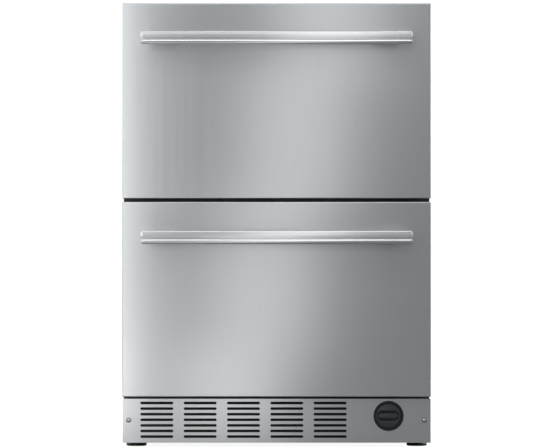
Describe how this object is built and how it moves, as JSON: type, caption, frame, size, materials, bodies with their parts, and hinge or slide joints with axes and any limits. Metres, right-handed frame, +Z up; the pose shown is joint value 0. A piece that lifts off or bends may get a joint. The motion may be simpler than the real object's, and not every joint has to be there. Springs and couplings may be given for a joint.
{
  "type": "undercounter drawer refrigerator",
  "caption": "Undercounter refrigerator with an upper and a lower drawer, full-width bar handles, a slotted toe grille with a round filter cap, and levelling feet.",
  "frame": {"origin": "on the floor, under the middle of the whole box, handles included", "axes": "+Z up, the drawers open towards -Y, +X to the right seen from the front"},
  "size_m": [0.6, 0.65, 0.864],
  "materials": {
    "front_steel": "vertical brushed grain, satin",
    "handle_steel": "fine satin, brushed along the bar",
    "grille_steel": "vertical brushed grain, satin",
    "cabinet_paint": "fine textured dark paint",
    "dark_trim": "satin",
    "foam": "cut rigid foam",
    "liner_plastic": "smooth moulded white",
    "galvanised": "galvanised sheet",
    "bright_steel": "zinc plated",
    "slide_steel": "zinc plated and greased",
    "bin_plastic": "fine grain, light grey",
    "gasket_rubber": "matt extruded seal",
    "black_plastic": "fine grain",
    "cap_plastic": "fine grain, dark grey",
    "dark_gloss": "gloss",
    "white_plastic": "moulded",
    "black_paint": "semi-gloss enamel",
    "black_rubber": "matt",
    "motor_metal": "cast housing",
    "copper": "drawn copper",
    "aluminium": "mill finish fins",
    "lens": "frosted"
  },
  "bodies": {
    "cabinet": {"cabinet_shell": "cabinet_paint", "cabinet_insulation": "foam", "upper_liner": "liner_plastic", "lower_liner": "liner_plastic", "mullion_bar": "dark_trim", "back_panel": "galvanised", "machine_cover": "galvanised", "cover_screws": "bright_steel", "base_pan": "galvanised", "toe_grille": "grille_steel", "grille_screws": "bright_steel", "compressor": "black_paint", "compressor_mounts": "black_rubber", "relay_box": "black_plastic", "condenser_coil": "black_paint", "fan_shroud": "black_plastic", "condenser_fan_motor": "motor_metal", "filter_drier": "copper", "refrigerant_pipes": "copper", "evaporator_coil": "aluminium", "evaporator_cover": "liner_plastic", "evaporator_fan_motor": "motor_metal", "drain_pan": "black_plastic", "control_panel": "dark_gloss", "light_lenses": "lens", "filter_housing": "black_plastic", "inlet_valve": "white_plastic", "water_line": "white_plastic", "cord_gland": "black_rubber", "upper_cabinet_rails": "slide_steel", "lower_cabinet_rails": "slide_steel"},
    "upper_drawer": {"upper_front_skin": "front_steel", "upper_front_core": "foam", "upper_inner_panel": "liner_plastic", "upper_gasket": "gasket_rubber", "upper_handle_bar": "handle_steel", "upper_handle_posts": "handle_steel", "upper_bin": "bin_plastic", "upper_divider": "bin_plastic", "upper_drawer_rails": "slide_steel"},
    "upper_slides": {"upper_middle_rails": "slide_steel"},
    "lower_drawer": {"lower_front_skin": "front_steel", "lower_front_core": "foam", "lower_inner_panel": "liner_plastic", "lower_gasket": "gasket_rubber", "lower_handle_bar": "handle_steel", "lower_handle_posts": "handle_steel", "lower_bin": "bin_plastic", "lower_divider": "bin_plastic", "lower_drawer_rails": "slide_steel"},
    "lower_slides": {"lower_middle_rails": "slide_steel"},
    "filter": {"filter_cartridge": "white_plastic"},
    "filter_grip": {"filter_cap": "cap_plastic"},
    "condenser_blades": {"condenser_fan": "black_plastic"},
    "evaporator_blades": {"evaporator_fan": "black_plastic"},
    "foot_front_left": {"foot_front_left": "black_plastic"},
    "foot_front_right": {"foot_front_right": "black_plastic"},
    "foot_back_left": {"foot_back_left": "black_plastic"},
    "foot_back_right": {"foot_back_right": "black_plastic"}
  },
  "joints": [
    {"name": "upper_drawer_slide", "type": "slide", "parent": "cabinet", "child": "upper_drawer", "axis": [0, -1, 0], "range_m": [0, 0.4]},
    {"name": "upper_slides_extend", "type": "slide", "parent": "cabinet", "child": "upper_slides", "axis": [0, -1, 0], "range_m": [0, 0.2]},
    {"name": "lower_drawer_slide", "type": "slide", "parent": "cabinet", "child": "lower_drawer", "axis": [0, -1, 0], "range_m": [0, 0.4]},
    {"name": "lower_slides_extend", "type": "slide", "parent": "cabinet", "child": "lower_slides", "axis": [0, -1, 0], "range_m": [0, 0.2]},
    {"name": "filter_pull", "type": "slide", "parent": "cabinet", "child": "filter", "axis": [0, -1, 0], "range_m": [0, 0.2]},
    {"name": "filter_turn", "type": "hinge", "parent": "filter", "child": "filter_grip", "pos_m": [0.218, -0.254, 0.0612], "axis": [0, 1, 0], "range_deg": [0, 90]},
    {"name": "condenser_fan_spin", "type": "hinge", "parent": "cabinet", "child": "condenser_blades", "pos_m": [-0.15, 0.236, 0.1195], "axis": [0, 1, 0], "continuous": true},
    {"name": "evaporator_fan_spin", "type": "hinge", "parent": "cabinet", "child": "evaporator_blades", "pos_m": [0, 0.2345, 0.756], "axis": [0, 1, 0], "continuous": true},
    {"name": "foot_front_left_turn", "type": "hinge", "parent": "cabinet", "child": "foot_front_left", "pos_m": [-0.275, -0.188, 0], "axis": [0, 0, 1], "continuous": true},
    {"name": "foot_front_right_turn", "type": "hinge", "parent": "cabinet", "child": "foot_front_right", "pos_m": [0.275, -0.188, 0], "axis": [0, 0, 1], "continuous": true},
    {"name": "foot_back_left_turn", "type": "hinge", "parent": "cabinet", "child": "foot_back_left", "pos_m": [-0.275, 0.29, 0], "axis": [0, 0, 1], "continuous": true},
    {"name": "foot_back_right_turn", "type": "hinge", "parent": "cabinet", "child": "foot_back_right", "pos_m": [0.275, 0.29, 0], "axis": [0, 0, 1], "continuous": true}
  ],
  "couplings": [
    {"joint": "upper_slides_extend", "follows": "upper_drawer_slide", "ratio": 0.5},
    {"joint": "lower_slides_extend", "follows": "lower_drawer_slide", "ratio": 0.5}
  ]
}
